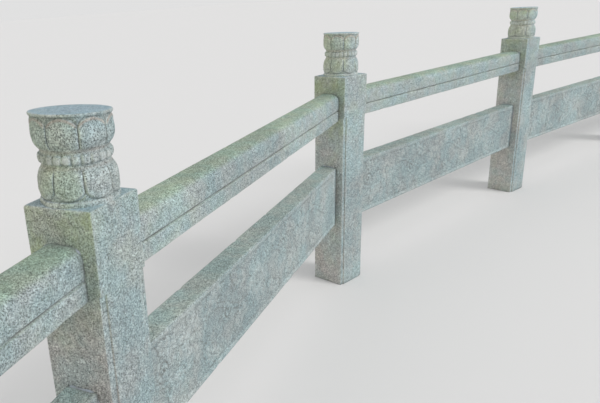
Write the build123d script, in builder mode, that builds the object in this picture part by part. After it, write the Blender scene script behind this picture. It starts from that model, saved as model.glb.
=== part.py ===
"""A carved stone railing in six bays: square posts with lotus heads, handrails and low panels.

Millimetres, +Z up. The origin is at ground level under the middle post, +X runs along the bay
to its right and +Y points to the planted side of the railing.
"""
from build123d import *
from math import cos, radians, sin
import os

# Driving dimensions

# Plan: each bay leaves its post square to the post's face and meets the next post at a slight turn
bay_clear = 1650.0
turns = [5.0, 5.0, 21.0, 4.0, 4.0, 4.0]
middle_post = 3

# Post
post_side = 160.0
shaft_height = 945.0
shaft_edge_bevel = 3.0
notch_width = 18.0
notch_depth = 5.0
notch_height = 775.0

# Lotus head, from the shaft upwards
collar_radius = 76.0
collar_height = 10.0
lower_petal_radius = 75.0
lower_petal_height = 62.0
neck_radius = 64.5
lower_neck_height = 7.0
bead_count = 24
bead_height = 18.0
bead_reach = 6.5
bead_valley_reach = 1.0
bead_side_angle = 4.0
upper_neck_height = 5.0
upper_petal_radius = 77.0
upper_petal_height = 67.0
rim_radius = 78.0
rim_height = 6.0

# Petals, the same in both rings
petal_count = 8
petal_swell_height = 13.0
petal_tip_rise = 18.0
petal_tip_half = 12.0
petal_groove_depth = 5.0
petal_groove_half = 5.0

# Handrail
rail_width = 98.0
rail_bottom = 760.0
rail_height = 115.0
rail_crown_round = 30.0
rail_band_height = 46.0
rail_groove_depth = 6.0
rail_groove_half = 4.5
rail_foot_bevel = 3.0

# Panel
panel_thickness = 80.0
panel_bottom = 290.0
panel_height = 265.0
panel_edge_bevel = 4.0

# Worked out from the driving dimensions

half_post = post_side / 2
lower_petal_neck = collar_height + lower_petal_height
bead_foot = lower_petal_neck + lower_neck_height
upper_petal_neck = bead_foot + bead_height + upper_neck_height
upper_petal_tip = upper_petal_neck + upper_petal_height
cutter_reach = 2 * petal_groove_depth


def petal_ring(radius, height):
    """A ring of petals opening from the neck, which is at height 0, to the rounded tips."""
    with BuildPart() as tip_gap:
        with BuildSketch(Plane.YZ.offset(radius - petal_groove_depth)):
            Polygon(
                (0, height - petal_tip_rise),
                (petal_tip_half, height),
                (-petal_tip_half, height),
                align=None,
            )
        extrude(amount=cutter_reach)
    with BuildPart() as ring:
        with BuildSketch(Plane.XZ):
            Polygon(
                (0, 0),
                (neck_radius, 0),
                (radius, petal_swell_height),
                (radius, height),
                (0, height),
                align=None,
            )
        revolve(axis=Axis.Z)
        with BuildSketch():
            with PolarLocations(radius - petal_groove_depth, petal_count):
                Polygon(
                    (0, 0),
                    (cutter_reach, 2 * petal_groove_half),
                    (cutter_reach, -2 * petal_groove_half),
                    align=None,
                )
        extrude(amount=height, mode=Mode.SUBTRACT)
        with PolarLocations(0, petal_count):
            add(tip_gap.part, mode=Mode.SUBTRACT)
    return ring.part


def bead_outline():
    """Plan of the bead ring: three corners a bead, from the valley at the neck out to its face."""
    pitch = 360 / bead_count
    outline = []
    for bead in range(bead_count):
        corners = (
            (bead_valley_reach, 0),
            (bead_reach, bead_side_angle),
            (bead_reach, pitch - bead_side_angle),
        )
        for reach, turn in corners:
            angle = radians(bead * pitch + turn)
            outline.append(((neck_radius + reach) * cos(angle), (neck_radius + reach) * sin(angle)))
    return outline


lower_petals = petal_ring(lower_petal_radius, lower_petal_height)
upper_petals = petal_ring(upper_petal_radius, upper_petal_height)

# Head: collar, petals pointing down, the bead ring on its neck, petals pointing up, rim over them
with BuildPart() as head:
    with BuildSketch():
        Circle(collar_radius)
    extrude(amount=collar_height)
    with Locations(Location((0, 0, lower_petal_neck), (180, 0, 0))):
        add(lower_petals)
    with BuildSketch(Plane.XY.offset(lower_petal_neck)):
        Circle(neck_radius)
    extrude(amount=upper_petal_neck - lower_petal_neck)
    with BuildSketch(Plane.XY.offset(bead_foot)):
        Polygon(*bead_outline(), align=None)
    extrude(amount=bead_height)
    with Locations((0, 0, upper_petal_neck)):
        add(upper_petals)
    with BuildSketch(Plane.XY.offset(upper_petal_tip)):
        Circle(rim_radius)
    extrude(amount=rim_height)

# Post: a square shaft, its front and back corners rebated below the handrail, one stone with its head
with BuildPart() as post_stone:
    with BuildSketch():
        Rectangle(post_side, post_side)
    extrude(amount=shaft_height)
    chamfer(post_stone.faces().sort_by(Axis.Z)[-1].edges(), length=shaft_edge_bevel)
    with BuildSketch():
        with GridLocations(post_side, post_side, 2, 2):
            Rectangle(2 * notch_width, 2 * notch_depth)
    extrude(amount=notch_height, mode=Mode.SUBTRACT)
    with Locations((0, 0, shaft_height)):
        add(head.part)


def rail_profile():
    """Section of the handrail: a crowned upper roll over a plain lower band, a groove between."""
    half = rail_width / 2
    top = rail_bottom + rail_height
    groove = rail_bottom + rail_band_height
    with BuildSketch() as section:
        Polygon(
            (0, top),
            (half, top),
            (half, groove + rail_groove_half),
            (half - rail_groove_depth, groove),
            (half, groove - rail_groove_half),
            (half, rail_bottom),
            (0, rail_bottom),
            align=None,
        )
        mirror(about=Plane.YZ)
        fillet(section.vertices().group_by(Axis.Y)[-1], radius=rail_crown_round)
        chamfer(section.vertices().group_by(Axis.Y)[0], length=rail_foot_bevel)
    return section.sketch


def panel_profile():
    """Section of the panel: a plain slab with eased edges."""
    with BuildSketch() as section:
        with Locations((0, panel_bottom + panel_height / 2)):
            Rectangle(panel_thickness, panel_height)
        chamfer(section.vertices(), length=panel_edge_bevel)
    return section.sketch


def headings():
    """Heading of each post in degrees: the middle post looks along +X."""
    result = [0.0]
    for turn in turns:
        result.append(result[-1] - turn)
    return [heading - result[middle_post] for heading in result]


def places(angles):
    """Centre of each post, stepped out both ways from the middle one."""
    steps = []
    for here, there in zip(angles, angles[1:]):
        reach = bay_clear + half_post
        steps.append(
            (reach * cos(radians(here)) + half_post * cos(radians(there)),
             reach * sin(radians(here)) + half_post * sin(radians(there)))
        )
    centres = [(0.0, 0.0)]
    for step_x, step_y in steps:
        centres.append((centres[-1][0] + step_x, centres[-1][1] + step_y))
    zero = centres[middle_post]
    return [(x - zero[0], y - zero[1]) for x, y in centres]


def bar_between(section, start, heading, end, end_heading):
    """A bar of the given section from one post's face to the next one's, cut to the far face."""
    along = Vector(cos(radians(heading)), sin(radians(heading)), 0)
    across = Vector(-along.Y, along.X, 0)
    face_in = Vector(cos(radians(end_heading)), sin(radians(end_heading)), 0)
    near = Plane(origin=Vector(*start) + along * half_post, x_dir=across, z_dir=along)
    far = Plane(origin=Vector(*end) - face_in * half_post, z_dir=face_in)
    with BuildPart() as bar:
        with BuildSketch(near):
            add(section)
        extrude(amount=bay_clear + half_post)
        split(bisect_by=far, keep=Keep.BOTTOM)
    return bar.part


os.makedirs("parts", exist_ok=True)
angles = headings()
centres = places(angles)

for number, (centre, angle) in enumerate(zip(centres, angles), start=1):
    with BuildPart() as post:
        with Locations(Location((*centre, 0), (0, 0, angle))):
            add(post_stone.part)
    post.part.label = f"post_{number}"
    export_step(post.part, f"parts/post_{number}.step")

for number in range(1, len(turns) + 1):
    ends = (centres[number - 1], angles[number - 1], centres[number], angles[number])
    rail = bar_between(rail_profile(), *ends)
    rail.label = f"handrail_{number}"
    export_step(rail, f"parts/handrail_{number}.step")
    panel = bar_between(panel_profile(), *ends)
    panel.label = f"panel_{number}"
    export_step(panel, f"parts/panel_{number}.step")
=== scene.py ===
"""Looks of the stone railing: weathered granite posts with lotus heads, handrails and carved panels.

Metres, +Z up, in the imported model's own frame: the middle post stands on the origin, its bay runs
along +X and the planted side is +Y.
"""

import math

import bpy
import numpy as np
from bpy.props import FloatProperty, FloatVectorProperty, IntProperty, PointerProperty
from mathutils import Matrix, Vector


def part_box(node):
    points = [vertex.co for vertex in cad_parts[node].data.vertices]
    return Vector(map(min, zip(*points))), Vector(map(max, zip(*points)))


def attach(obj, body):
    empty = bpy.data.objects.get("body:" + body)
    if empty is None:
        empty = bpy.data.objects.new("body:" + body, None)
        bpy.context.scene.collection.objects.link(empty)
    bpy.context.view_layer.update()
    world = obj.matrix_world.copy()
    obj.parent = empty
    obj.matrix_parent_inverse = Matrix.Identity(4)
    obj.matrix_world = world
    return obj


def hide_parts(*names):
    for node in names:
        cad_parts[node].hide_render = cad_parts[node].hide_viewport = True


bl_info = {
    "name": "Stone railing",
    "version": (1, 0, 0),
    "blender": (4, 5, 0),
    "location": "3D View > Sidebar > Railing",
    "description": "Granite railing with lotus-headed posts, handrails and carved panels",
    "category": "Add Mesh",
}

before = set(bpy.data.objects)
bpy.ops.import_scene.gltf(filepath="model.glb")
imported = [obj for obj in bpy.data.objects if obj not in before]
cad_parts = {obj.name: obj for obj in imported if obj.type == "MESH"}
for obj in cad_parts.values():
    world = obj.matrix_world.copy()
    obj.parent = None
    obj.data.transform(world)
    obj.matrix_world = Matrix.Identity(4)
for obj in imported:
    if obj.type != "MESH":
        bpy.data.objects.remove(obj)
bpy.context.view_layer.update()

RAIL_LOW, RAIL_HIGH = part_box("handrail_4")
PANEL_LOW, PANEL_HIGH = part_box("panel_4")
POST_LOW, POST_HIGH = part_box("post_4")
POST_SIDE = POST_HIGH.x - POST_LOW.x
HALF_POST = POST_SIDE / 2

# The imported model's plan: each post's turn from the one before in degrees, and a bay's clear length
TURNS = (5.0, 5.0, 21.0, 4.0, 4.0, 4.0)
BAY_CLEAR = 1.65
MIDDLE_POST = 3
BAYS = len(TURNS)
POSTS = BAYS + 1


# Sizes and colours


def metres(name, description, default, least):
    """A length in metres that the user can change."""
    return FloatProperty(name=name, description=description, default=default, min=least, unit="LENGTH")


def colour(name, description, default):
    """A colour that the user can change."""
    return FloatVectorProperty(
        name=name, description=description, default=default, size=3, min=0, max=1, subtype="COLOR",
    )


class RailingPostSizes(bpy.types.PropertyGroup):
    """Sizes of the square shafts."""

    side: metres("Side", "Width of the square shaft", POST_SIDE, 0.05)
    shaft_height: metres("Shaft height", "Ground to the top of the square shaft", 0.945, 0.1)
    notch_width: metres("Notch width", "Width of the rebate at each corner, along the railing", 0.018, 0.001)
    notch_depth: metres("Notch depth", "Depth of the rebate, across the railing", 0.005, 0.001)
    notch_height: metres("Notch height", "Ground to the top of the corner notches", 0.775, 0.05)
    wear: metres("Edge wear", "How far the arrises are worn back", 0.0028, 0.0)


class RailingHeadSizes(bpy.types.PropertyGroup):
    """Sizes of the lotus heads."""

    petals: IntProperty(name="Petals", description="Petals in each ring", default=8, min=4)
    beads: IntProperty(name="Beads", description="Beads round the neck", default=24, min=8)
    relief: metres("Petal relief", "Depth of the carving between the petals", 0.0036, 0.0)
    bead_reach: metres("Bead reach", "How far a bead stands out of the neck", 0.0065, 0.001)


class RailingRailSizes(bpy.types.PropertyGroup):
    """Sizes of the handrails."""

    width: metres("Width", "Width of the handrail", RAIL_HIGH.y - RAIL_LOW.y, 0.02)
    bottom: metres("Bottom", "Ground to the underside", RAIL_LOW.z, 0.05)
    height: metres("Height", "Depth of the handrail", RAIL_HIGH.z - RAIL_LOW.z, 0.02)
    crown: metres("Crown", "Radius of the rounded upper corners", 0.030, 0.001)
    band: metres("Lower band", "Height of the plain band under the groove", 0.046, 0.005)
    groove_depth: metres("Groove depth", "Depth of the long groove", 0.006, 0.0)
    groove_half: metres("Groove half width", "Half the width of the long groove", 0.0045, 0.0005)


class RailingPanelSizes(bpy.types.PropertyGroup):
    """Sizes of the low panels."""

    thickness: metres("Thickness", "Thickness of the slab", PANEL_HIGH.y - PANEL_LOW.y, 0.01)
    bottom: metres("Bottom", "Ground to the underside", PANEL_LOW.z, 0.0)
    height: metres("Height", "Height of the slab", PANEL_HIGH.z - PANEL_LOW.z, 0.02)
    carving: metres("Carving depth", "Depth of the worn flower carving", 0.0055, 0.0)


class RailingColours(bpy.types.PropertyGroup):
    """Colours of the stone, its growth and its mortar, and of the light and shade painted on it."""

    pale_grain: colour("Pale grain", "Feldspar of the granite", (0.51, 0.535, 0.515))
    grey_grain: colour("Grey grain", "Quartz of the granite", (0.25, 0.27, 0.265))
    speck: colour("Speck", "Dark mica specks", (0.085, 0.092, 0.090))
    # Painted sky light: the cool tint given to faces towards the open ground
    sky_lit_side: colour("Open side", "Cool tint of faces towards the open ground", (0.775, 0.905, 0.965))
    # Painted shade: the greenish tint given to faces turned from the light
    shaded_side: colour("Damp side", "Greenish tint of faces turned from the light", (0.92, 1.0, 0.895))
    algae: colour("Algae", "Olive growth in patches and on sheltered stone", (0.34, 0.40, 0.22))
    stain: colour("Stain", "Pinkish brown water stains", (0.40, 0.33, 0.28))
    # Grime and painted shade in the deepest lines
    grime_and_shade: colour("Grime", "Dark dirt in the deepest lines", (0.10, 0.105, 0.095))
    # Dust with painted sky light: the pale blue laid on the flat tops
    dust_and_skylight: colour("Dust", "Pale bluish dust settled on the flat tops", (0.235, 0.40, 0.53))
    mortar: colour("Mortar", "Cement in the joints", (0.41, 0.48, 0.56))


# Plan


def plan():
    """Foot and heading of each post. Heading k+1 is heading k less its turn; from post to post the
    line runs half a side and the clear bay along one heading, then half a side along the next."""
    headings = -np.concatenate([[0.0], np.cumsum(np.radians(TURNS))])
    headings = headings - headings[MIDDLE_POST]
    units = np.stack([np.cos(headings), np.sin(headings)], axis=1)
    steps = (BAY_CLEAR + HALF_POST) * units[:-1] + HALF_POST * units[1:]
    feet = np.concatenate([[[0.0, 0.0]], np.cumsum(steps, axis=0)])
    return feet - feet[MIDDLE_POST], headings


FEET, HEADINGS = plan()


def turned(local, number):
    """Points given in a post's own axes, turned by its heading and moved to its foot."""
    cos, sin = math.cos(HEADINGS[number]), math.sin(HEADINGS[number])
    out = np.array(local, float)
    out[..., 0] = local[..., 0] * cos - local[..., 1] * sin + FEET[number][0]
    out[..., 1] = local[..., 0] * sin + local[..., 1] * cos + FEET[number][1]
    return out


# Numbers and meshes

# Large primes that scatter a lattice's x, y and z, its seed and the result, and the bits kept of a
# word and of the result
SCATTER = (374761393, 668265263, 2147483647)
SCATTER_SEED, SCATTER_LAST = 1274126177, 2246822519
WORD_BITS, RESULT_BITS = 0xFFFFFFFF, 0xFFFFFF


def smoothstep(low, high, x):
    """0 below low, 1 above high, and 3t squared less 2t cubed between."""
    t = np.clip((x - low) / (high - low), 0, 1)
    return t * t * (3 - 2 * t)


def window(rise, full, fade, end, x):
    """0 up to rise, 1 from full to fade, 0 from end on, and smooth steps between."""
    return smoothstep(rise, full, x) * (1 - smoothstep(fade, end, x))


def bell(x, middle, width, power=2):
    """1 at the middle, and e to the minus power of the distance in widths away from it."""
    return np.exp(-(((x - middle) / width) ** power))


def lattice(spots, seed):
    """A repeatable random number from 0 to 1 for each whole-numbered spot."""
    h = ((spots * SCATTER).sum(-1) + seed * SCATTER_SEED) & WORD_BITS
    h = ((h ^ (h >> 13)) * SCATTER_SEED) & WORD_BITS
    h = ((h ^ (h >> 16)) * SCATTER_LAST) & WORD_BITS
    return ((h ^ (h >> 15)) & RESULT_BITS) / float(RESULT_BITS)


def noise(points, size, seed):
    """Value noise from -1 to 1: random numbers on a lattice of the given size, blended smoothly
    between the eight corners round each point."""
    base = np.floor(points / size).astype(np.int64)
    part = points / size - base
    part = part * part * (3 - 2 * part)
    total = np.zeros(points.shape[:-1])
    for dz, dy, dx in np.ndindex(2, 2, 2):
        weight = np.where((dx, dy, dz), part, 1 - part).prod(-1)
        total += weight * lattice(base + (dx, dy, dz), seed)
    return 2 * total - 1


def rough(points, size, seed):
    """Three octaves of noise, each half the size and half the strength of the one before."""
    return (
        noise(points, size, seed) + 0.5 * noise(points, size / 2, seed + 1)
        + 0.25 * noise(points, size / 4, seed + 2)
    ) / 1.75


def closed_sweep(name, grid, attributes):
    """A closed skin from a grid of points, rows along and columns round: quads between neighbours,
    the last column joined to the first, and a fan on its own middle point at each end. The faces
    are turned over if the volume inside them comes out below 0."""
    rows, cols = grid.shape[:2]
    points = np.concatenate([grid.reshape(-1, 3), [grid[0].mean(0), grid[-1].mean(0)]])
    here = np.arange(cols)
    after = (here + 1) % cols
    row = np.arange(rows - 1)[:, None] * cols
    quads = np.stack([row + here, row + after, row + cols + after, row + cols + here], -1).reshape(-1, 4)
    last = (rows - 1) * cols
    fans = np.concatenate([
        np.stack([after, here, np.full(cols, rows * cols)], -1),
        np.stack([last + here, last + after, np.full(cols, rows * cols + 1)], -1),
    ])
    a, b, c, d = points[quads].transpose(1, 0, 2)
    if (a * (np.cross(b, c) + np.cross(c, d))).sum() < 0:
        quads, fans = quads[:, ::-1], fans[:, ::-1]
    loops = np.concatenate([quads.ravel(), fans.ravel()]).astype(np.int32)
    sides = np.repeat([4, 3], [len(quads), len(fans)]).astype(np.int32)
    mesh = bpy.data.meshes.new(name)
    mesh.vertices.add(len(points))
    mesh.vertices.foreach_set("co", points.astype(np.float32).ravel())
    mesh.loops.add(len(loops))
    mesh.loops.foreach_set("vertex_index", loops)
    mesh.polygons.add(len(sides))
    mesh.polygons.foreach_set("loop_start", np.concatenate([[0], np.cumsum(sides)[:-1]]).astype(np.int32))
    mesh.polygons.foreach_set("loop_total", sides)
    mesh.polygons.foreach_set("use_smooth", np.ones(len(sides), bool))
    mesh.update(calc_edges=True)
    mesh.validate()
    for label, values in attributes.items():
        flat = np.concatenate([values.ravel(), [values[0].mean(), values[-1].mean()]])
        layer = mesh.attributes.new(label, "FLOAT", "POINT")
        layer.data.foreach_set("value", flat.astype(np.float32))
    return mesh


def add_piece(mesh, material, nodes):
    """Puts a mesh into the scene as a piece that rides on the railing's body."""
    piece = bpy.data.objects.new(mesh.name, mesh)
    bpy.context.scene.collection.objects.link(piece)
    mesh.materials.append(material)
    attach(piece, "root")
    if nodes:
        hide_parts(*nodes)


# Materials

# Tints of the granite: its palest grains, stone rubbed bare, which also paints the panels' raised
# carving pale as a painted highlight, the two ways its grey leans, and the painted shade tint of the
# side turned from the light where it is lighter and more neutral below the handrail
WHITE_GRAIN = (0.78, 0.80, 0.77)
RUBBED_AND_HIGHLIT = (0.58, 0.61, 0.59)
PINK_LEAN = (1.06, 0.985, 0.975)
BLUE_LEAN = (0.945, 1.0, 1.02)
LOW_SHADED_SIDE = (1.13, 1.10, 1.11)

# The darker parts of the cement
DAMP_CEMENT = (0.30, 0.33, 0.34)
DARK_SAND = (0.16, 0.17, 0.17)

SPECULAR = 0.25

# How each stone has weathered and how light is painted on it: its lightness, its shares of algae and
# stain, the tint of its tops (painted sky light on posts and heads, growth and painted shade on rails,
# painted shade on panels), the share of dust and painted sky light on them, how clean and how much
# lighter its shaded side is low down, and the depth of its tool marks
WEATHER_AND_LIGHT = {
    "post_granite": (1.06, 0.90, 0.30, (0.83, 0.96, 1.0), 0.40, 0.75, 0.7),
    "head_granite": (1.10, 0.55, 0.15, (0.78, 0.92, 0.99), 0.50, 0.0, 0.5),
    "rail_granite": (1.0, 0.62, 0.25, (0.66, 0.82, 0.71), 0.0, 0.0, 0.5),
    "panel_granite": (1.0, 0.20, 0.14, (0.76, 0.89, 0.88), 0.0, 0.0, 0.6),
}


class Nodes:
    """Short hand for a material's node tree. Values may be numbers, colours, sockets or nodes."""

    def __init__(self, name):
        self.material = bpy.data.materials.new(name)
        self.material.use_nodes = True
        self.tree = self.material.node_tree
        self.tree.nodes.clear()

    def new(self, kind):
        """A new node, placed in rows of eight."""
        count = len(self.tree.nodes)
        node = self.tree.nodes.new(kind)
        node.location = (220 * (count % 8), -260 * (count // 8))
        return node

    def plug(self, socket, value):
        """Links a socket to another node or sets it to a value."""
        if isinstance(value, bpy.types.NodeSocket):
            self.tree.links.new(value, socket)
        elif isinstance(value, bpy.types.Node):
            self.tree.links.new(value.outputs[0], socket)
        elif hasattr(value, "__len__") and len(value) == 3 and socket.type == "RGBA":
            socket.default_value = (*value, 1.0)
        else:
            socket.default_value = value

    def add(self, kind, **inputs):
        """A new node with the inputs named."""
        node = self.new(kind)
        for key, value in inputs.items():
            self.plug(node.inputs[key], value)
        return node

    def noise(self, vector, scale, detail, rough, distortion=0.0):
        """Smooth noise, about 1 / scale metres wide."""
        return self.add(
            "ShaderNodeTexNoise", Vector=vector, Scale=scale, Detail=detail, Roughness=rough,
            Distortion=distortion,
        ).outputs[0]

    def cells(self, vector, scale):
        """A random number for each cell, about 1 / scale metres wide: the red of its colour."""
        cell = self.add("ShaderNodeTexVoronoi", Vector=vector, Scale=scale)
        return self.add("ShaderNodeSeparateColor", Color=cell.outputs["Color"]).outputs[0]

    def ramp(self, value, low, high, start=0.0, end=1.0):
        """A smooth step from start, where the value is low, to end, where it is high."""
        node = self.add("ShaderNodeMapRange", Value=value)
        node.interpolation_type = "SMOOTHSTEP"
        for key, limit in zip(("From Min", "From Max", "To Min", "To Max"), (low, high, start, end)):
            node.inputs[key].default_value = limit
        return node.outputs[0]

    def mix(self, factor, a, b, blend="MIX"):
        """Colour a turning into b, by the Mix node's colour sockets, 6, 7 and output 2."""
        node = self.new("ShaderNodeMix")
        node.data_type = "RGBA"
        node.blend_type = blend
        for index, value in ((0, factor), (6, a), (7, b)):
            self.plug(node.inputs[index], value)
        return node.outputs[2]

    def joined(self, operation, values, clamp):
        """Values joined by an operation, one after the other, the last result from 0 to 1 if asked."""
        result = values[0]
        for value in values[1:]:
            node = self.new("ShaderNodeMath")
            node.operation = operation
            self.plug(node.inputs[0], result)
            self.plug(node.inputs[1], value)
            result = node.outputs[0]
        node.use_clamp = clamp
        return result

    def times(self, *values, clamp=False):
        """The product of the values."""
        return self.joined("MULTIPLY", values, clamp)

    def plus(self, *values, clamp=False):
        """The sum of the values."""
        return self.joined("ADD", values, clamp)

    def attribute(self, label):
        """The mesh's own attribute of that name."""
        node = self.new("ShaderNodeAttribute")
        node.attribute_name = label
        return node.outputs["Fac"]

    def object_point(self, scale=(1, 1, 1)):
        """Object coordinates in metres, times the scale."""
        coord = self.add("ShaderNodeTexCoord")
        mapping = self.add("ShaderNodeMapping", Vector=coord.outputs["Object"])
        mapping.inputs["Scale"].default_value = scale
        return mapping.outputs[0]

    def finish(self, base, roughness, height, distance):
        """The finished material, with the height times the distance as bump."""
        bump = self.add("ShaderNodeBump", Strength=1.0, Distance=distance, Height=height)
        shader = self.add("ShaderNodeBsdfPrincipled", Roughness=roughness, Normal=bump)
        self.plug(shader.inputs["Base Color"], base)
        shader.inputs["Specular IOR Level"].default_value = SPECULAR
        self.add("ShaderNodeOutputMaterial", Surface=shader)
        return self.material


def granite_grains(nodes, colours, here, small):
    """Clean stone: of random cells 2.3 mm wide two in five are grey, and of cells 1.5 mm wide one in
    five is dark and one in nine white."""
    middle = nodes.cells(here, 430.0)
    base = nodes.mix(nodes.ramp(middle, 0.56, 0.70, 0.0, 0.60), colours.pale_grain, colours.grey_grain)
    base = nodes.mix(nodes.ramp(small, 0.79, 0.83, 0.0, 0.84), base, colours.speck)
    return nodes.mix(nodes.ramp(small, 0.13, 0.10, 0.0, 0.44), base, WHITE_GRAIN)


def granite_sides(nodes, colours, face, here, top_light_and_growth, low_clean_and_lit):
    """Painted light by the way a face looks: a cool tint of painted sky light towards the open ground,
    a greenish painted shade on the side turned from the light, which can be lighter and more neutral
    below the handrail, and the top's own painted tint. With it the two shares used."""
    away = nodes.plus(nodes.times(face.outputs[0], -0.90), nodes.times(face.outputs[1], 0.35))
    shaded_and_damp = nodes.ramp(away, -0.25, 0.65)
    height = nodes.add("ShaderNodeSeparateXYZ", Vector=here).outputs[2]
    raised = nodes.ramp(height, 0.60, 0.86, 1.0 - low_clean_and_lit, 1.0)
    side = nodes.mix(shaded_and_damp, colours.sky_lit_side, nodes.mix(raised, LOW_SHADED_SIDE, colours.shaded_side))
    return nodes.mix(nodes.ramp(face.outputs[2], 0.45, 0.95), side, top_light_and_growth), shaded_and_damp, raised


def granite(name, colours):
    """Weathered grey granite. Its grains are tinted by side with painted light, a cool painted sky light
    on faces towards the open ground, a greenish painted shade on faces turned from the light and a
    painted tint on the tops, and by noise 110 mm wide that leans between pink and blue. Olive patches
    lie on it, most on the side turned from the light, then brown runs. Over them it is lighter and
    darker in noises 310, 20, 9.5 and 3.7 mm wide. Dust and painted sky light lie on flat tops, lines
    are darkened by the "hollow" attribute as grime and painted shade, borders stained by "tint" and
    arrises rubbed pale by "edge", which also paints the panels' raised carving pale as a painted
    highlight. The small cells, the tool marks and pits 5 mm apart stand up as bump."""
    light, algae, stain, top_light_and_growth, dust_and_skylight, low_clean_and_lit, tooling = WEATHER_AND_LIGHT[name]
    nodes = Nodes(name)
    here = nodes.object_point()
    small = nodes.cells(here, 680.0)
    clump = nodes.noise(here, 270.0, 2.0, 0.6)
    tooled = nodes.noise(here, 105.0, 3.0, 0.7)
    blotch = nodes.noise(here, 50.0, 4.0, 0.65)
    patch = nodes.noise(here, 13.0, 5.0, 0.62, 0.4)
    drift = nodes.noise(here, 9.0, 3.0, 0.6)
    broad = nodes.noise(here, 3.2, 3.0, 0.6)
    streak = nodes.noise(nodes.object_point((10.0, 10.0, 1.2)), 1.0, 4.0, 0.6)
    face = nodes.add("ShaderNodeSeparateXYZ", Vector=nodes.add("ShaderNodeNewGeometry").outputs["Normal"])

    base = granite_grains(nodes, colours, here, small)
    base = nodes.mix(1.0, base, nodes.mix(nodes.ramp(drift, 0.36, 0.64), PINK_LEAN, BLUE_LEAN), "MULTIPLY")
    # Painted light by side: sky light towards the open ground, shade on the side turned from the light, and
    # the tops' tint
    side, shaded_and_damp, raised = granite_sides(nodes, colours, face, here, top_light_and_growth, low_clean_and_lit)
    base = nodes.mix(1.0, base, side, "MULTIPLY")

    growth = nodes.times(
        nodes.ramp(patch, 0.36, 0.66), nodes.ramp(broad, 0.28, 0.62), raised,
        nodes.plus(nodes.times(shaded_and_damp, 0.75), 0.25), algae, clamp=True,
    )
    base = nodes.mix(growth, base, colours.algae)
    run = nodes.times(nodes.ramp(streak, 0.48, 0.70), nodes.ramp(blotch, 0.35, 0.65), stain)
    border = nodes.times(nodes.attribute("tint"), 0.45)
    base = nodes.mix(nodes.plus(run, border, clamp=True), base, colours.stain)

    tone = nodes.times(
        nodes.ramp(broad, 0.28, 0.72, 0.86, 1.14), nodes.ramp(blotch, 0.25, 0.75, 0.89, 1.11),
        nodes.ramp(clump, 0.32, 0.68, 0.76 * light, 1.24 * light), nodes.ramp(tooled, 0.33, 0.67, 0.87, 1.13),
    )
    grey = nodes.add("ShaderNodeCombineColor", Red=tone, Green=tone, Blue=tone)
    base = nodes.mix(1.0, base, grey, "MULTIPLY")

    # Dust and painted sky light on the flat tops
    upward = nodes.ramp(face.outputs[2], 0.90, 0.99, 0.0, dust_and_skylight)
    base = nodes.mix(nodes.times(upward, nodes.ramp(clump, 0.30, 0.62, 0.30, 1.0)), base, colours.dust_and_skylight)
    # Grime and painted shade in the lines that the "hollow" attribute marks
    hollow = nodes.attribute("hollow")
    base = nodes.mix(nodes.ramp(hollow, 0.05, 0.50, 0.0, 0.40), base, colours.grey_grain)
    base = nodes.mix(nodes.ramp(hollow, 0.25, 0.95, 0.0, 0.85), base, colours.grime_and_shade)
    # Arrises rubbed pale, and the panels' raised carving painted pale as a painted highlight
    worn = nodes.times(nodes.attribute("edge"), nodes.ramp(blotch, 0.35, 0.65, 0.05, 0.45))
    base = nodes.mix(worn, base, RUBBED_AND_HIGHLIT)

    pits = nodes.ramp(nodes.add("ShaderNodeTexVoronoi", Vector=here, Scale=210.0), 0.0, 0.35)
    relief = nodes.plus(nodes.times(small, 0.30), nodes.times(tooled, tooling), nodes.times(pits, 0.45))
    return nodes.finish(base, nodes.ramp(blotch, 0.2, 0.8, 0.74, 0.94), relief, 0.0010)


def cement(name, colours):
    """Bluish grey cement: smears 17 mm wide, under dark sand in noise 1.4 mm wide."""
    nodes = Nodes(name)
    here = nodes.object_point()
    sand = nodes.noise(here, 700.0, 2.0, 0.7)
    smear = nodes.noise(here, 60.0, 4.0, 0.6)
    base = nodes.mix(nodes.ramp(smear, 0.3, 0.7), colours.mortar, DAMP_CEMENT)
    base = nodes.mix(nodes.ramp(sand, 0.35, 0.75, 0.0, 0.35), base, DARK_SAND)
    height = nodes.plus(nodes.times(sand, 0.4), nodes.times(smear, 0.6))
    return nodes.finish(base, 0.9, height, 0.0008)


def material(name, maker, colours):
    """The material of that name, made the first time that it is asked for."""
    return bpy.data.materials.get(name) or maker(name, colours)


# Posts

# Radius of the arrises and of the round at the shaft's top
ARRIS = 0.002
TOP_ROUND = 0.004

# Points along an arris, places of the ledge's points as shares of its width, the height of the
# point over its root, and points of the square corner before and after its bend and of a face
ARC_POINTS = 4
LEDGE = (0.38, 0.70, 0.95, 1.0)
ROOT_RISE = 0.0009
UP_POINTS, OVER_POINTS = 7, 4
FACE_POINTS = 7

# Rows of points below the notch's top, between it and the round, on the round and on the flat top,
# and the heights of the four rows across the notch's top
SHAFT_ROWS, UPPER_ROWS, ROUND_ROWS, CAP_ROWS = 72, 16, 5, 5
NOTCH_TOP = np.array([-0.0015, -0.0003, 0.0003, 0.0015])

# A corner's 13 points: those on the two arrises of the rebate, those on the bend of the square
# corner, and how near each is to the root of the rebate, the eighth point
ON_ARRIS = np.array([1.0] * 4 + [0.0] * 5 + [1.0] * 4)
ON_BEND = np.array([0.0] * 6 + [1.0] * 4 + [0.0] * 3)
NEAR_ROOT = bell(np.arange(13), 7, math.sqrt(0.8))


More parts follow.
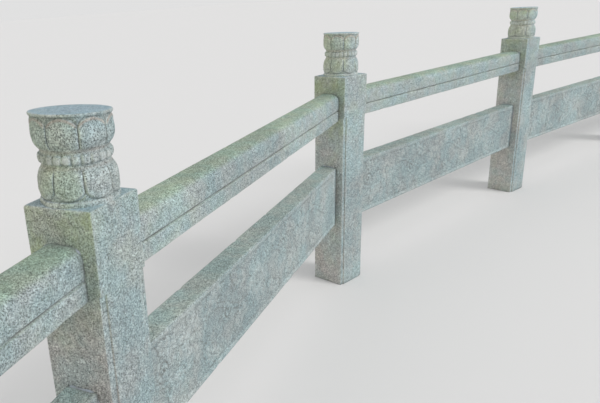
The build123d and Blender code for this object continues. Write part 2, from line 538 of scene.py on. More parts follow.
def corner_paths(side, width, depth):
    """One corner of the shaft, in the first quadrant seen from above, as two matching runs of
    points: square with a rounded arris, and rebated by width and depth, with two rounded arrises
    and a sharp root."""
    half = side / 2
    turn = np.linspace(0, np.pi / 2, ARC_POINTS)
    arc_run = ARRIS * np.stack([np.cos(turn), np.sin(turn)], -1)
    low = np.array([half - ARRIS, half - depth - ARRIS]) + arc_run
    high = np.array([half - width - ARRIS, half - ARRIS]) + arc_run
    ledge = [[half - width * share, half - depth] for share in LEDGE]
    rise = [[half - width, half - depth + ROOT_RISE]]
    up = [[half, y] for y in np.linspace(half - depth - ARRIS, half - ARRIS, UP_POINTS)]
    bend = [[half - ARRIS * (1 - math.sqrt(0.5))] * 2, [half - ARRIS, half]]
    over = [[x, half] for x in np.linspace(half - ARRIS * 3, half - width - ARRIS, OVER_POINTS)]
    return np.concatenate([up, bend, over]), np.concatenate([low, ledge, rise, high])


def shaft_ring(path):
    """The shaft's outline as a closed run: the corner's path mirrored into each quadrant, with
    evenly spaced points across the faces between."""
    flip = path[::-1] * np.array([-1, 1])
    corners = [path, flip, -path, -flip]
    t = np.linspace(0, 1, FACE_POINTS + 2)[1:-1, None]
    runs = []
    for here, after in zip(corners, corners[1:] + corners[:1]):
        runs += [here, here[-1] * (1 - t) + after[0] * t]
    return np.concatenate(runs)


def shaft_marks(marks):
    """Marks of a corner's points carried round like its path, 0 on the faces between."""
    face = np.zeros(FACE_POINTS)
    return np.concatenate([marks, face, marks[::-1], face] * 2)


def shaft_rows(sizes):
    """Height of each ring and how far it is drawn in, by a quarter round at the top."""
    turn = np.linspace(0, np.pi / 2, ROUND_ROWS)
    heights = np.concatenate([
        np.linspace(0, sizes.notch_height - 0.004, SHAFT_ROWS),
        sizes.notch_height + NOTCH_TOP,
        np.linspace(sizes.notch_height + 0.006, sizes.shaft_height - 0.006, UPPER_ROWS),
        sizes.shaft_height - TOP_ROUND * (1 - np.sin(turn)),
    ])
    inset = np.zeros(len(heights))
    inset[-ROUND_ROWS:] = TOP_ROUND * (1 - np.cos(turn))
    return heights, inset


def shaft_surface(scene, number):
    """Shaft as rings stacked in height: the rebated outline up to the notch height and the square
    one above, closing in a quarter round at the top. Arrises are worn in by noise and the faces
    waver by part of a millimetre."""
    sizes = scene.railing_posts
    square, rebated = corner_paths(sizes.side, sizes.notch_width, sizes.notch_depth)
    heights, inset = shaft_rows(sizes)
    low = (heights < sizes.notch_height)[:, None] * 1.0
    ring = np.where(low[..., None] > 0, shaft_ring(rebated), shaft_ring(square))
    ring = ring * (1 - inset[:, None] / np.abs(ring).max(-1))[..., None]
    grid = np.concatenate([ring, np.broadcast_to(heights[:, None, None], (*ring.shape[:2], 1))], -1)
    cap = grid[-1][None] * np.ones((CAP_ROWS, 1, 1))
    cap[..., :2] *= np.linspace(0.88, 0.2, CAP_ROWS)[:, None, None]
    grid = np.concatenate([grid, cap])
    edge = low * shaft_marks(ON_ARRIS) + (1 - low) * shaft_marks(ON_BEND)
    edge = np.maximum(edge, (inset > 0.0003)[:, None])
    unmarked = np.zeros((CAP_ROWS, ring.shape[1]))
    edge = np.concatenate([edge, unmarked])
    # Dirt and painted shade darken the root of each rebate and the stone near the ground
    hollow = np.concatenate([low * shaft_marks(NEAR_ROOT) * 0.40, unmarked])
    hollow = np.maximum(hollow, smoothstep(0.09, 0.0, grid[..., 2]) * 0.30)
    seed = 40 + number * 17
    chip = smoothstep(0.2, 0.8, rough(grid, 0.05, seed + 9)) * 1.8
    chip = chip + smoothstep(0.1, 0.9, rough(grid, 0.014, seed + 13)) * 0.6
    inward = 0.0004 + np.abs(rough(grid, 0.16, seed)) * 0.0006 + edge * sizes.wear * (0.15 + 0.5 * chip)
    inward[0] = 0.0
    reach = np.sqrt((grid[..., :2] ** 2).sum(-1))
    grid[..., :2] *= (1 - inward / np.maximum(reach, 0.02))[..., None]
    return turned(grid, number), {"edge": edge * 0.45, "hollow": hollow}


# Lotus heads

# The head's outline from the collar up, in millimetres: radius and height above the shaft, in runs
# that meet at corners
HEAD_SIDES = (
    ((75.0, -3.0), (75.6, 0.5), (75.6, 6.6), (74.4, 9.2), (71.8, 10.2)),
    ((71.8, 10.2), (74.8, 14.0), (76.5, 24.0), (76.9, 37.0), (75.6, 51.0), (71.0, 64.0), (66.4, 71.0),
     (64.5, 76.0)),
    ((64.5, 76.0), (64.5, 101.5)),
    ((64.5, 101.5), (68.3, 107.0), (72.3, 112.0), (76.4, 123.0), (77.4, 136.0), (76.4, 153.0), (75.9, 165.0)),
    ((75.9, 165.0), (76.2, 167.4), (75.6, 168.8)),
    ((75.6, 168.8), (77.2, 170.1), (77.9, 172.2), (77.1, 174.2), (75.0, 174.9)),
)
HEAD_TOP = ((75.0, 174.9), (68.0, 174.5), (42.0, 174.1), (2.0, 174.3))

# Each head was dressed by hand: the heading in degrees its top falls towards, the fall in metres
# and its girth as a share of the usual one
DRESSING = (
    (140, 0.0015, 0.99), (60, 0.0020, 1.01), (-11, 0.0090, 1.022), (3, 0.0052, 0.955),
    (20, 0.0016, 0.982), (-75, 0.0020, 1.0), (110, 0.0014, 0.975),
)

# Points of a curve's span, rows on the head's sides and on its top, and columns of a petal
SPAN_POINTS, SIDE_ROWS, TOP_ROWS, PETAL_COLUMNS = 12, 100, 10, 24

# Heights in metres above the shaft: the line over the collar, the foot of the lower petals, the
# middle of the beads, the foot of the upper petals and the line under the rim. Then half a bead.
COLLAR_LINE, LOWER_FOOT, BEAD_MIDDLE, UPPER_FOOT, RIM_LINE = 0.0104, 0.0745, 0.088, 0.102, 0.1686
BEAD_HALF = 0.0093

# Petals: the length of each ring's, the height of their arches, and the power of the arch
UPPER_TIP, UPPER_ARCH = 0.0662, 0.0188
LOWER_TIP, LOWER_ARCH = 0.0635, 0.0200
ARCH_POWER = 1.8

# Distances in from a petal's edge: the pillow's width, the lip's middle and the line behind it
PILLOW, LIP, LIP_LINE = 0.0085, 0.0034, 0.0070


def distances(points):
    """Distance of each point of a run from its first, along the run."""
    return np.concatenate([[0], np.cumsum(np.hypot(*np.diff(points, axis=0).T))])


def curve_through(points):
    """A curve in metres through points in millimetres: every span is a cubic, whose ends run along
    the slope that the neighbouring points give, by their distances."""
    p = np.array(points) / 1000
    s = distances(p)
    slope = np.gradient(p, s, axis=0)
    span = np.diff(s)[:, None, None]
    t = np.linspace(0, 1, SPAN_POINTS, endpoint=False)[None, :, None]
    blend = 3 * t ** 2 - 2 * t ** 3
    leave = (t ** 3 - 2 * t ** 2 + t) * slope[:-1, None] * span
    reach = (t ** 3 - t ** 2) * slope[1:, None] * span
    curve = (1 - blend) * p[:-1, None] + blend * p[1:, None] + leave + reach
    return np.concatenate([curve.reshape(-1, 2), p[-1:]])


def evenly(curve, count):
    """Points at even distances along a curve."""
    along = distances(curve)
    s = np.linspace(0, along[-1], count)
    return np.stack([np.interp(s, along, curve[:, 0]), np.interp(s, along, curve[:, 1])], -1)


def head_profile():
    """Radii and heights of the head's rows, close on the carved sides and wider apart on top."""
    sides = np.concatenate([curve_through(run) for run in HEAD_SIDES])
    return np.concatenate([evenly(sides, SIDE_ROWS), evenly(curve_through(HEAD_TOP), TOP_ROWS)[1:]]).T


def plain_head(sizes, girth, seed):
    """Radius, height, place in its petal and angle of each point of the plain turned head. Columns
    crowd towards the grooves by a sine of the angle, but hardly at the beads."""
    count = sizes.petals * PETAL_COLUMNS
    radius, z = (np.repeat(values[:, None], count, axis=1) for values in head_profile())
    turn = np.arange(count) / PETAL_COLUMNS
    crowd = 0.60 * (1 - bell(z, BEAD_MIDDLE, 0.012))
    share = turn - crowd * np.sin(2 * np.pi * turn) / (2 * np.pi)
    angle = share * (2 * np.pi / sizes.petals) + np.random.default_rng(seed).uniform(-0.012, 0.012)
    return radius * girth, z, share, angle


def petal_relief(x, rise, half, tip, arch):
    """Carving of one ring of petals in shares of its depth, with its dirt and painted shade and its
    border. x runs across from a petal's middle and rise from its foot. A petal's edge is straight up
    to the arch and then half an ellipse to the tip; d is the distance in from that edge, (1 - level)
    over the steepness of level, where level is the 1.8th root of the summed 1.8th powers of x and rise
    in shares of the ellipse. The body is pillowed over 8.5 mm, with a lip round its end, a narrow
    groove runs at d = 0, and beyond it the gap shows the ridge of the petal behind."""
    above = (rise - (tip - arch)) / arch
    k, q = np.abs(x) / half, np.clip(above, 0, None)
    level = np.maximum((k ** ARCH_POWER + q ** ARCH_POWER) ** (1 / ARCH_POWER), 1e-4)
    slope = np.hypot(k ** (ARCH_POWER - 1) / half, q ** (ARCH_POWER - 1) / arch)
    d = (1 - level) / np.maximum(slope * level ** (1 - ARCH_POWER), 1.0)
    arched = smoothstep(-0.15, 0.30, above)
    pillow = -0.42 * (1 - smoothstep(0.0, PILLOW, d))
    groove = -0.58 * bell(d, 0, 0.0011)
    beyond = -0.45 * smoothstep(0.0, 0.0014, -d) + 0.42 * smoothstep(0.0026, 0.0046, -d)
    lip = 0.30 * bell(d, LIP, 0.0016) - 0.20 * smoothstep(0.0050, PILLOW, d)
    dirt_and_shade = (1.10 - 0.50 * arched) * bell(d, 0, 0.0010) + 0.25 * smoothstep(0.0, 0.0015, -d)
    dirt_and_shade = dirt_and_shade + 0.30 * (0.4 + 0.6 * arched) * bell(d, LIP_LINE, 0.0010)
    border = window(0.0008, 0.002, 0.0045, PILLOW, d) * arched
    return pillow + groove + beyond + lip * (0.25 + 0.75 * arched), dirt_and_shade, border


def petal_rings(x, z, half):
    """Carving, and dirt with painted shade, of both rings of petals, and the border of the upper and the
    lower petals, each ring fading out at the neck and ending at its line by the rim or the collar."""
    upper, upper_dirt_and_shade, upper_border = petal_relief(x, z - UPPER_FOOT, half, UPPER_TIP, UPPER_ARCH)
    lower, lower_dirt_and_shade, lower_border = petal_relief(x, LOWER_FOOT - z, half, LOWER_TIP, LOWER_ARCH)
    in_upper = window(0.1035, 0.112, 0.1678, 0.1688, z)
    in_lower = window(0.0102, 0.0116, 0.0620, 0.0715, z)
    dirt_and_shade = np.maximum(upper_dirt_and_shade * in_upper, lower_dirt_and_shade * in_lower)
    return upper * in_upper + lower * in_lower, dirt_and_shade, upper_border * in_upper, lower_border * in_lower


def bead_blocks(sizes, angle, z, width):
    """Beads as rounded blocks, from 0 at the edge to 1 in the middle: 1 less the 3.8th power of the
    way across, times the width given, and less the 3.2nd power of the way up or down."""
    across = np.abs((angle / (2 * np.pi / sizes.beads)) % 1.0 - 0.5) * 2 * width
    return np.clip(1 - across ** 3.8 - np.abs((z - BEAD_MIDDLE) / BEAD_HALF) ** 3.2, 0, 1)


def lotus_surface(scene, number):
    """Head as a turned profile, radius over height, carved by angle: a ring of petals hanging to
    the collar, a ring of beads on the neck and a ring of petals standing up to the rim. Each has
    its own girth, and its upper half falls to one side by the distance across and a smooth step of
    the height. Noise chips the rim and the collar, which is also lumpy, and roughens the top."""
    sizes = scene.railing_heads
    seed = 300 + number * 23
    heading, fall, girth = DRESSING[number]
    radius, z, share, angle = plain_head(sizes, girth, seed)
    here = np.stack([radius * np.cos(angle), radius * np.sin(angle), z], -1)
    half_petal = np.pi / sizes.petals * radius
    x = ((share % 1.0) - 0.5) * 2 * half_petal + noise(here, 0.02, seed + 1) * 0.0005
    relief, dirt_and_shade, upper_border, lower_border = petal_rings(x, z, half_petal)
    block = bead_blocks(sizes, angle, z, 1.02 + 0.07 * noise(here, 0.018, seed + 2))
    lump = noise(here, 0.024, seed + 15)
    foot = 1 - smoothstep(0.0092, 0.0120, z)
    rim = smoothstep(0.1690, 0.1705, z) * smoothstep(0.072, 0.075, radius)
    worn = np.maximum(rim, window(0.0045, 0.0075, 0.0096, 0.0104, z))

    out = radius + relief * sizes.relief + sizes.bead_reach * block ** 0.42
    out = out - np.abs(rough(here, 0.03, seed + 5)) * 0.0007
    out = out - worn * (0.0003 + 0.0020 * smoothstep(0.25, 0.85, rough(here, 0.03, seed + 8)))
    out = np.where(radius > 0.01, out + foot * lump * 0.0016, radius)
    across = 0.5 * (1 + out * np.cos(angle - math.radians(heading)) / radius.max())
    top = z - fall * smoothstep(0.104, RIM_LINE, z) * across
    top = top + foot * smoothstep(0.004, 0.008, z) * noise(here, 0.030, seed + 17) * 0.0018
    grid = np.stack([out * np.cos(angle), out * np.sin(angle), top], -1)
    flat = (1 - smoothstep(0.060, 0.073, out)) * (z > 0.15)
    grid[..., 2] += flat * (rough(grid, 0.04, seed + 12) * 0.0005 - 0.0003)

    # Dirt and painted shade darken the petal lines, the gaps between the beads, the collar line and the line
    # under the rim
    hollow = np.maximum.reduce([
        dirt_and_shade,
        bell(z, BEAD_MIDDLE, 0.0115, 4) * (1 - smoothstep(0.0, 0.30, block)) * 0.50,
        bell(z, COLLAR_LINE, 0.0010) * (0.36 + 0.30 * lump),
        bell(z, RIM_LINE, 0.0010) * (radius > 0.07) * (0.40 + 0.3 * noise(here, 0.012, seed + 3)),
    ])
    necks = np.maximum(0.7 * bell(z, 0.1035, 0.0040), 0.5 * bell(z, 0.0725, 0.0040))
    tint = np.maximum(upper_border * 1.3, necks)
    beads = smoothstep(0.25, 0.80, block) * 1.5
    edge = np.maximum.reduce([worn * 0.9, beads, foot * 0.5, lower_border * 0.9])
    grid[..., 2] += scene.railing_posts.shaft_height
    return turned(grid, number), {"edge": edge, "hollow": np.clip(hollow, 0, 1), "tint": tint}


# Bars between posts

# Rows of points along a handrail and a panel, besides the two at each end
RAIL_ROWS, PANEL_ROWS = 128, 284

# Radius of the handrail's foot arrises, and how far the groove's lips are eased
RAIL_ARRIS = 0.003
LIP_EASE = 0.0004


def bar_grid(section, ts, number):
    """A section carried along a bay: across and up from the section, along from the near post's
    face to the slanted far face, in even shares of each line's own length."""
    heading, after = HEADINGS[number], HEADINGS[number + 1]
    along = np.array([math.cos(heading), math.sin(heading)])
    across = np.array([-along[1], along[0]])
    face = np.array([math.cos(after), math.sin(after)])
    feet = (FEET[number] + along * HALF_POST)[None] + section[:, :1] * across[None]
    far = FEET[number + 1] - face * HALF_POST
    length = ((far[None] - feet) @ face) / (along @ face)
    xy = feet[None] + ts[:, None, None] * length[None, :, None] * along
    z = np.broadcast_to(section[None, :, 1:2], (len(ts), len(section), 1))
    return np.concatenate([xy, z], -1), across


def bar_shares(count):
    """Shares of the way along a bar: two close ones at each end and even ones between."""
    return np.concatenate([[0.0, 0.002], np.linspace(0.005, 0.995, count), [0.998, 1.0]])


def push(grid, across, dy, dz):
    """Moves points of a bar across and up."""
    out = grid.copy()
    out[..., :2] += dy[..., None] * across
    out[..., 2] += dz
    return out


def joint_dirt_and_shade(ts, reach):
    """Dirt and painted shade by the joints at both ends of a bar: faint over the reach given and darker at
    the post.
    """
    near_end = np.minimum(ts, 1 - ts)[:, None] * BAY_CLEAR
    return 0.16 * smoothstep(reach, 0.0, near_end) + 0.40 * smoothstep(0.012, 0.004, near_end)


def arc(x, z, radius, angles):
    """Points of a circle round x and z, at the angles given."""
    return [(x + radius * math.cos(angle), z + radius * math.sin(angle)) for angle in angles]


def mirrored(right, top):
    """A whole section from its right half, which starts at the middle of the foot: the half, the
    middle of the top, and the half's points mirrored on the way back."""
    right = np.array(right)
    return np.concatenate([right, [[0.0, top]], right[1:][::-1] * np.array([-1, 1])])


def rail_section(sizes):
    """Outline of the handrail from the middle of its underside: foot arris, plain band, groove,
    roll and a quarter round into the flat top, then the same mirrored."""
    half, bottom, top = sizes.width / 2, sizes.bottom, sizes.bottom + sizes.height
    groove, lip, crown = bottom + sizes.band, sizes.groove_half, sizes.crown
    slope, lip_x = half - sizes.groove_depth * 0.5, half - LIP_EASE
    right = [(x, bottom) for x in (0.0, half * 0.5, half - 0.004)]
    right += arc(half - RAIL_ARRIS, bottom + RAIL_ARRIS, RAIL_ARRIS, np.linspace(-np.pi / 2, 0, 4)[1:])
    right += [(half, z) for z in np.linspace(bottom + 0.012, groove - lip - 0.003, 3)]
    right += [(lip_x, groove - lip), (slope, groove - lip * 0.5), (half - sizes.groove_depth, groove)]
    right += [(slope, groove + lip * 0.5), (lip_x, groove + lip)]
    right += [(half, z) for z in np.linspace(groove + lip + 0.003, top - crown, 3)]
    right += arc(half - crown, top - crown, crown, np.linspace(0, np.pi / 2, 9)[1:])
    return mirrored(right + [((half - crown) * 0.5, top)], top)


def rail_surface(scene, number):
    """Handrail: its section carried along the bay, with a slightly wavering line, worn arrises and
    chips along the foot and the groove's lips."""
    sizes = scene.railing_rails
    section = rail_section(sizes)
    ts = bar_shares(RAIL_ROWS)
    grid, across = bar_grid(section, ts, number)
    base, top, groove = sizes.bottom, sizes.bottom + sizes.height, sizes.bottom + sizes.band
    seed = 700 + number * 31
    y, z = np.abs(section[:, 0]), section[:, 1]
    outer = y > sizes.width * 0.3
    lip = bell(np.abs(z - groove), sizes.groove_half, 0.0025) * outer
    foot = bell(z, base, 0.004) * smoothstep(0.38, 0.46, y / sizes.width)
    edge = np.clip(lip * 0.5 + foot, 0, 1)[None, :] * np.ones((len(ts), 1))
    # Dirt and painted shade darken the groove's root
    root = bell(z, groove, 0.0026) * outer
    hollow = root[None, :] * (0.70 + 0.55 * rough(grid, 0.06, seed))
    hollow = np.maximum(hollow, joint_dirt_and_shade(ts, 0.05))
    wave = np.abs(rough(grid, 0.25, seed + 3)) * 0.0010 + np.abs(rough(grid, 0.03, seed + 5)) * 0.0004
    chip = edge * (0.0004 + 0.0024 * smoothstep(0.2, 0.85, rough(grid, 0.035, seed + 7)))
    dy = -section[:, 0] / (sizes.width / 2) * (0.0004 + wave + chip)
    mid = (z - (top + base) / 2) / (sizes.height / 2)
    dz = -mid ** 3 * (0.0003 + wave + chip * 0.5)
    return push(grid, across, dy, dz), {"edge": edge, "hollow": np.clip(hollow, 0, 1)}


# Carved panels

# Places in metres from the near post and up from the panel's foot. Flowers: along, up, radius,
# petals, turn. Leaves, from the stalk's end: along, up, angle, length, half width. Curls: along,
# up, radius, hand.
FLOWERS = ((0.257, 0.165, 0.092, 7, 0.2), (0.717, 0.140, 0.100, 8, 0.9), (1.185, 0.148, 0.095, 7, 0.5))
LEAVES = (
    (0.205, 0.110, -2.45, 0.125, 0.034), (0.315, 0.100, -0.50, 0.140, 0.036),
    (0.335, 0.185, 0.35, 0.140, 0.034), (0.180, 0.200, 2.75, 0.115, 0.032),
    (0.630, 0.185, 2.65, 0.135, 0.035), (0.640, 0.085, -2.85, 0.140, 0.034),
    (0.805, 0.190, 0.42, 0.140, 0.036), (0.805, 0.085, -0.35, 0.145, 0.034),
    (1.100, 0.192, 2.72, 0.130, 0.034), (1.105, 0.090, -2.75, 0.145, 0.036),
    (1.270, 0.192, 0.40, 0.135, 0.034), (1.270, 0.092, -0.42, 0.145, 0.036),
    (1.415, 0.150, 0.10, 0.140, 0.036),
)
CURLS = (
    (0.100, 0.160, 0.034, 1), (0.478, 0.140, 0.036, -1), (0.960, 0.165, 0.034, 1),
    (1.395, 0.070, 0.030, -1),
)

# The stem's start, the length of its wave and its half width
STEM_START, STEM_WAVE, STEM_HALF = 0.257, 0.464, 0.0065

# Radius of the panel's arrises, and rows of points up each carved face
PANEL_ARRIS = 0.006
CARVED_ROWS = 54


def bump_flower(u, v, cu, cv, radius, petals, turn):
    """An open flower in two rings: each ring's edge swings with the angle as a cosine power, each
    petal is dished towards its middle line with fine radial strokes and parted by creases, and a
    domed eye with a sunk ring round it sits on top. 0 off the flower, 1 at the eye."""
    du, dv = u - cu, v - cv
    r = np.hypot(du, dv)
    a = np.arctan2(dv, du) + turn
    total = np.zeros_like(r)
    for size, twist, low, high in ((1.0, 0.0, 0.0, 0.62), (0.62, 0.5, 0.30, 0.88)):
        swing = np.abs(np.cos((a * petals / 2) + twist * np.pi / 2))
        rim = radius * size * (0.66 + 0.34 * swing ** 0.55)
        body = np.clip(1 - (r / rim) ** 5, 0, 1) ** 0.6
        crease = 1 - 0.75 * bell(swing, 0, 0.22)
        strokes = 1 - 0.16 * (0.5 + 0.5 * np.cos(a * petals * 4)) * smoothstep(0.25, 0.6, r / rim)
        dish = 0.72 + 0.28 * smoothstep(0.2, 0.9, r / rim)
        total = np.maximum(total, (low + (high - low) * crease * strokes * dish) * body)
    eye = np.sqrt(np.clip(1 - (r / (0.17 * radius)) ** 2, 0, 1))
    return np.maximum(total - 0.55 * bell(r / radius, 0.20, 0.045), eye)


def bump_leaf(u, v, cu, cv, angle, length, width):
    """A lobed leaf from its stalk end: the half width is a skewed sine notched by its lobes, the
    blade is domed, with a cut midrib that bends as a sine and slanting veins."""
    c, s = math.cos(angle), math.sin(angle)
    x = (u - cu) * c + (v - cv) * s
    y = -(u - cu) * s + (v - cv) * c
    t = np.clip(x / length, 0, 1)
    bend = 0.10 * length * np.sin(np.pi * t) * (1 if s > 0 else -1)
    lobes = 1 - 0.30 * np.abs(np.sin(t * np.pi * 4)) ** 3
    half = width * np.sin(np.pi * t ** 0.7) ** 0.8 * lobes + 1e-4
    k = np.abs(y - bend) / half
    blade = np.clip(1 - k ** 3, 0, 1) ** 0.6 * ((x > 0) & (x < length))
    rib = 1 - 0.65 * bell(y, bend, 0.0032)
    slant = np.cos((x - 1.2 * np.abs(y - bend)) * 2 * np.pi * 4 / length)
    veins = 1 - 0.34 * (0.5 + 0.5 * slant) * smoothstep(0.15, 0.4, k)
    return blade * rib * veins * 0.75


def bump_stem(u, v, middle, swing, wave, width):
    """A stem along v = middle + swing sin(2 pi u / wave), round across, 0 beyond its half width."""
    turn = 2 * np.pi / wave
    line = middle + swing * np.sin(u * turn)
    slope = swing * turn * np.cos(u * turn)
    d = np.abs(v - line) / np.sqrt(1 + slope ** 2)
    return np.sqrt(np.clip(1 - (d / width) ** 2, 0, 1)) * 0.385


def bump_curl(u, v, cu, cv, radius, hand):
    """A curled tendril: a ridge along the spiral r = radius (1 - a / 3.6 pi), nearest winding."""
    du, dv = u - cu, v - cv
    r = np.hypot(du, dv)
    a = (np.arctan2(dv, du) * hand) % (2 * np.pi)
    best = np.zeros_like(r)
    for wind in (0, 1):
        target = radius * (1 - (a + 2 * np.pi * wind) / (3.6 * np.pi))
        best = np.maximum(best, bell(r, target, 0.0055) * (target > 0.1 * radius))
    return best * 0.60


def carving(u, v, length, height):
    """The worn carving as a share of its depth, 0 on the highest parts and -1 on the sunk ground,
    for a bay of the length and height given: three open flowers on a wavy stem, with lobed leaves
    and curled tendrils between, fading out before the panel's edges."""
    parts = [bump_stem(u - STEM_START, v, 0.57 * height, 0.15 * height, STEM_WAVE, STEM_HALF)]
    parts += [bump_flower(u, v, *flower) for flower in FLOWERS]
    parts += [bump_leaf(u, v, *leaf) for leaf in LEAVES]
    parts += [bump_curl(u, v, *curl) for curl in CURLS]
    ends = smoothstep(0.02, 0.06, u) * smoothstep(0.02, 0.06, length - u)
    edges = smoothstep(0.008, 0.024, v) * smoothstep(0.008, 0.024, height - v)
    return (np.maximum.reduce(parts) - 1) * ends * edges


def panel_section(sizes):
    """Outline of the panel from the middle of its foot, close on the carved faces: across and up."""
    half, bottom, top = sizes.thickness / 2, sizes.bottom, sizes.bottom + sizes.height
    x, low, high = half - PANEL_ARRIS, bottom + PANEL_ARRIS, top - PANEL_ARRIS
    right = [(0.0, bottom), (x - 0.004, bottom)]
    right += arc(x, low, PANEL_ARRIS, np.linspace(-np.pi / 2, 0, 4))
    right += [(half, z) for z in np.linspace(low + 0.003, high - 0.003, CARVED_ROWS)]
    right += arc(x, high, PANEL_ARRIS, np.linspace(0, np.pi / 2, 4))
    return mirrored(right + [(x - 0.005, top), (half * 0.45, top)], top)


def panel_surface(scene, number):
    """Panel: its outline carried along the bay, both faces sunk by the carving, arrises chipped."""
    sizes = scene.railing_panels
    section = panel_section(sizes)
    ts = bar_shares(PANEL_ROWS)
    grid, across = bar_grid(section, ts, number)
    half, bottom, top = sizes.thickness / 2, sizes.bottom, sizes.bottom + sizes.height
    x, z = section[:, 0], section[:, 1]
    u, v = np.meshgrid(ts * BAY_CLEAR, z - bottom, indexing="ij")
    face = (np.abs(x) > half - 0.0005) * 1.0
    carve = carving(u, v, BAY_CLEAR, sizes.height) * face
    seed = 900 + number * 37
    cut = carve * sizes.carving * np.clip(0.80 + 0.35 * rough(grid, 0.18, seed), 0.4, 1.0)
    edge = bell(np.hypot(np.abs(x) - half, np.minimum(z - bottom, top - z)), 0, 0.007)
    chip = edge * (0.0005 + 0.0034 * smoothstep(0.15, 0.8, rough(grid, 0.04, seed + 2)))
    wave = np.abs(rough(grid, 0.2, seed + 5)) * 0.0010 + np.abs(rough(grid, 0.025, seed + 6)) * 0.0006
    dy = np.sign(x) * (cut - (0.0003 + wave) * face - chip)
    dz = np.where(z > (bottom + top) / 2, -1, 1) * (1 - face) * (0.0003 + wave + chip * 0.8)
    dip = np.zeros_like(carve)
    around = carve[2:, 1:-1] + carve[:-2, 1:-1] + carve[1:-1, 2:] + carve[1:-1, :-2]
    dip[1:-1, 1:-1] = around / 4 - carve[1:-1, 1:-1]
    # The raised carving is painted pale through "edge" as a painted highlight, and its sunk ground and
    # concave parts are darkened through "hollow" as painted shade with dirt
    raised = smoothstep(-0.70, -0.30, carve) * (carve < -0.001)
    hollow = smoothstep(-0.70, -0.92, carve) * 0.22 + np.clip(dip * 3.2, 0, 0.46) * face
    hollow = np.maximum(hollow, joint_dirt_and_shade(ts, 0.04))
    marks = {"edge": np.clip(edge * 0.20 + raised * 0.70, 0, 1), "hollow": np.clip(hollow, 0, 1)}
    return push(grid, across, dy, dz), marks


# Mortar in the joints

# Rows of a smear: how far out of the post's face each lies, and how far out of the bar's outline.
# Then the points of a row.
MORTAR_OUT = (0.0, 0.0012, 0.0030, 0.0046, 0.0050)
MORTAR_SPREAD = (0.0032, 0.0030, 0.0018, 0.0006, -0.0040)
MORTAR_POINTS = 96

# How far the cement starts inside a bar's outline: at its sides, its foot and its top
MORTAR_INSET = {"rail": (0.006, 0.004, 0.006), "panel": (0.001, 0.001, 0.001)}


def mortar_surface(width, low, high, number, far, seed):
    """A thin smear of cement round a bar's end: a flat box whose outline is a rounded rectangle, by
    the ninth root of the summed ninth powers of the cosine and the sine, standing out by noise and
    pressed against the post's face."""
    turn = np.linspace(0, 2 * np.pi, MORTAR_POINTS, endpoint=False)
    across, up = np.cos(turn), np.sin(turn)
    reach = 1 / (np.abs(across) ** 9 + np.abs(up) ** 9) ** (1 / 9)
    y = width / 2 * reach * across
    z = (low + high) / 2 + (high - low) / 2 * reach * up
    here = np.stack([np.zeros(MORTAR_POINTS), y, z], -1)
    spread = np.array(MORTAR_SPREAD)[:, None] * (0.75 + 0.6 * rough(here, 0.02, seed))
    out = HALF_POST + np.array(MORTAR_OUT)[:, None] * (0.8 + 0.5 * rough(here, 0.03, seed + 3))
    local = np.stack([-out if far else out, y + across * spread, z + up * spread], -1)
    return turned(local, number + 1 if far else number)


# Stage

FLOOR_HALF = 60.0
FLOOR_COLOUR = (0.742, 0.742, 0.745)
SKY_STRENGTH = 0.75

# The sun: its strength, its width in degrees, its colour and the way it shines
SUN_STRENGTH = 1.4
SUN_WIDTH = 25
SUN_COLOUR = (1.0, 0.98, 0.95)
SUN_DIRECTION = (-0.25, 0.75, -0.61)

# The camera, fitted to the photo: its place in metres, its heading from +X, its tilt down and its
# roll in degrees, its lens in millimetres, and the lens's shift in shares of the picture's width
CAMERA_PLACE = (-2.3093, -1.6714, 1.3006)
CAMERA_HEADING = 48.4496
CAMERA_TILT = 20.2416
CAMERA_ROLL = -3.5221
CAMERA_LENS = 38.207
CAMERA_SHIFT = (0.15742, 0.04688)


def add_floor(scene):
    """A pale matt floor that isn't part of the railing."""
    mesh = bpy.data.meshes.new("floor")
    corners = [(x * FLOOR_HALF, y * FLOOR_HALF, 0) for x, y in ((-1, -1), (1, -1), (1, 1), (-1, 1))]
    mesh.from_pydata(corners, [], [(0, 1, 2, 3)])
    floor = bpy.data.objects.new("floor", mesh)
    scene.collection.objects.link(floor)
    nodes = Nodes("pale_floor")
    shader = nodes.add("ShaderNodeBsdfPrincipled", Roughness=0.9)
    nodes.plug(shader.inputs["Base Color"], FLOOR_COLOUR)
    shader.inputs["Specular IOR Level"].default_value = 0.1
    nodes.add("ShaderNodeOutputMaterial", Surface=shader)
    mesh.materials.append(nodes.material)


def add_light(scene):
    """A white sky and a wide soft sun."""
    scene.world = bpy.data.worlds.new("studio")
    scene.world.use_nodes = True
    sky = scene.world.node_tree.nodes["Background"]
    sky.inputs["Color"].default_value = (1.0, 1.0, 1.0, 1)
    sky.inputs["Strength"].default_value = SKY_STRENGTH
    sun = bpy.data.lights.new("key", "SUN")
    sun.energy = SUN_STRENGTH
    sun.angle = math.radians(SUN_WIDTH)
    sun.color = SUN_COLOUR
    lamp = bpy.data.objects.new("key", sun)
    lamp.rotation_mode = "QUATERNION"
    lamp.rotation_quaternion = Vector(SUN_DIRECTION).to_track_quat("-Z", "Y")
    scene.collection.objects.link(lamp)


def add_camera(scene):
    """The photo's camera: rolled, tilted up from looking at the ground, then turned to its heading."""
    data = bpy.data.cameras.new("camera")
    data.sensor_width = 36.0
    data.lens = CAMERA_LENS
    data.shift_x, data.shift_y = CAMERA_SHIFT
    heading = Matrix.Rotation(math.radians(CAMERA_HEADING - 90), 4, "Z")
    tilt = Matrix.Rotation(math.radians(90 - CAMERA_TILT), 4, "X")
    roll = Matrix.Rotation(math.radians(CAMERA_ROLL), 4, "Z")
    camera = bpy.data.objects.new("camera", data)
    camera.matrix_world = Matrix.Translation(CAMERA_PLACE) @ heading @ tilt @ roll
    scene.collection.objects.link(camera)
    scene.camera = camera


# Operators


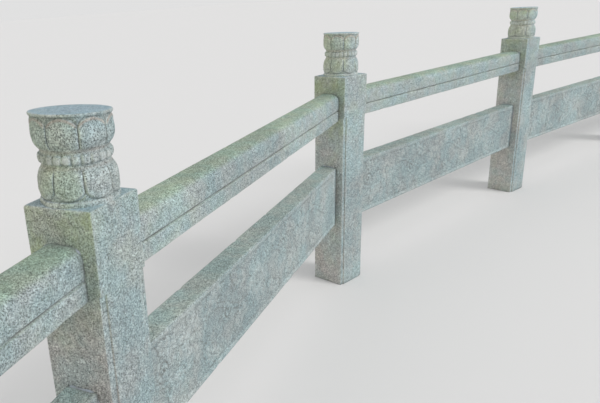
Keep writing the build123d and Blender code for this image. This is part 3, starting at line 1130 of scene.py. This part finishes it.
def add_stones(scene, count, surface, name, stone, node):
    """One stone a post or a bay: its surface, its name, its slot and granite, and its CAD node."""
    stuff = material(stone, granite, scene.railing_colours)
    for number in range(count):
        grid, marks = surface(scene, number)
        mesh = closed_sweep(f"{name}_{number + 1}", grid, marks)
        add_piece(mesh, stuff, [f"{node}_{number + 1}"])
    return {"FINISHED"}


class RAILING_OT_stage(bpy.types.Operator):
    """Sets the floor, the soft light and the camera"""

    bl_idname = "railing.stage"
    bl_label = "Stage"

    def execute(self, context):
        add_floor(context.scene)
        add_light(context.scene)
        add_camera(context.scene)
        context.scene.view_settings.view_transform = "Standard"
        return {"FINISHED"}


class RAILING_OT_shafts(bpy.types.Operator):
    """Builds the seven square shafts with notched corners"""

    bl_idname = "railing.shafts"
    bl_label = "Post shafts"

    def execute(self, context):
        return add_stones(
            context.scene, POSTS, shaft_surface, "post_shaft", "post_granite", "post",
        )


class RAILING_OT_heads(bpy.types.Operator):
    """Carves the seven lotus heads with their beads"""

    bl_idname = "railing.heads"
    bl_label = "Lotus heads"

    def execute(self, context):
        return add_stones(
            context.scene, POSTS, lotus_surface, "lotus_head", "head_granite", "post",
        )


class RAILING_OT_handrails(bpy.types.Operator):
    """Builds a handrail in each bay"""

    bl_idname = "railing.handrails"
    bl_label = "Handrails"

    def execute(self, context):
        return add_stones(
            context.scene, BAYS, rail_surface, "handrail_bar", "rail_granite", "handrail",
        )


class RAILING_OT_panels(bpy.types.Operator):
    """Carves a panel in each bay"""

    bl_idname = "railing.panels"
    bl_label = "Carved panels"

    def execute(self, context):
        return add_stones(
            context.scene, BAYS, panel_surface, "panel_slab", "panel_granite", "panel",
        )


class RAILING_OT_mortar(bpy.types.Operator):
    """Smears cement round the ends of the handrails and panels"""

    bl_idname = "railing.mortar"
    bl_label = "Mortar joints"

    def execute(self, context):
        rail, panel = context.scene.railing_rails, context.scene.railing_panels
        paste = material("joint_cement", cement, context.scene.railing_colours)
        bars = (("rail", rail.width, rail), ("panel", panel.thickness, panel))
        for number in range(BAYS):
            for label, width, bar in bars:
                side, foot, top = MORTAR_INSET[label]
                low, high = bar.bottom + foot, bar.bottom + bar.height - top
                for far in (False, True):
                    seed = 1200 + number * 8 + far * 4 + (label == "rail") * 2
                    grid = mortar_surface(width - 2 * side, low, high, number, far, seed)
                    name = f"{label}_mortar_{number + 1}_{'far' if far else 'near'}"
                    add_piece(closed_sweep(name, grid, {}), paste, [])
        return {"FINISHED"}


# Registering and building

OPERATORS = (
    RAILING_OT_stage, RAILING_OT_shafts, RAILING_OT_heads, RAILING_OT_handrails, RAILING_OT_panels,
    RAILING_OT_mortar,
)
GROUPS = (
    ("railing_posts", RailingPostSizes), ("railing_heads", RailingHeadSizes),
    ("railing_rails", RailingRailSizes), ("railing_panels", RailingPanelSizes),
    ("railing_colours", RailingColours),
)


class RAILING_PT_tools(bpy.types.Panel):
    """The railing's pieces, in the order they are built"""

    bl_idname = "RAILING_PT_tools"
    bl_label = "Railing"
    bl_space_type = "VIEW_3D"
    bl_region_type = "UI"
    bl_category = "Railing"

    def draw(self, context):
        for operator in OPERATORS:
            self.layout.operator(operator.bl_idname)
        for label, group in GROUPS:
            for key in group.__annotations__:
                self.layout.prop(getattr(context.scene, label), key)


def register():
    """Adds the sizes, operators and panel."""
    for label, group in GROUPS:
        bpy.utils.register_class(group)
        setattr(bpy.types.Scene, label, PointerProperty(type=group))
    for operator in OPERATORS:
        bpy.utils.register_class(operator)
    bpy.utils.register_class(RAILING_PT_tools)


def unregister():
    """Takes them out again."""
    bpy.utils.unregister_class(RAILING_PT_tools)
    for operator in reversed(OPERATORS):
        bpy.utils.unregister_class(operator)
    for label, group in reversed(GROUPS):
        delattr(bpy.types.Scene, label)
        bpy.utils.unregister_class(group)


def main():
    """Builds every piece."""
    register()
    bpy.ops.railing.stage()
    bpy.ops.railing.shafts()
    bpy.ops.railing.heads()
    bpy.ops.railing.handrails()
    bpy.ops.railing.panels()
    bpy.ops.railing.mortar()


if __name__ == "__main__":
    main()
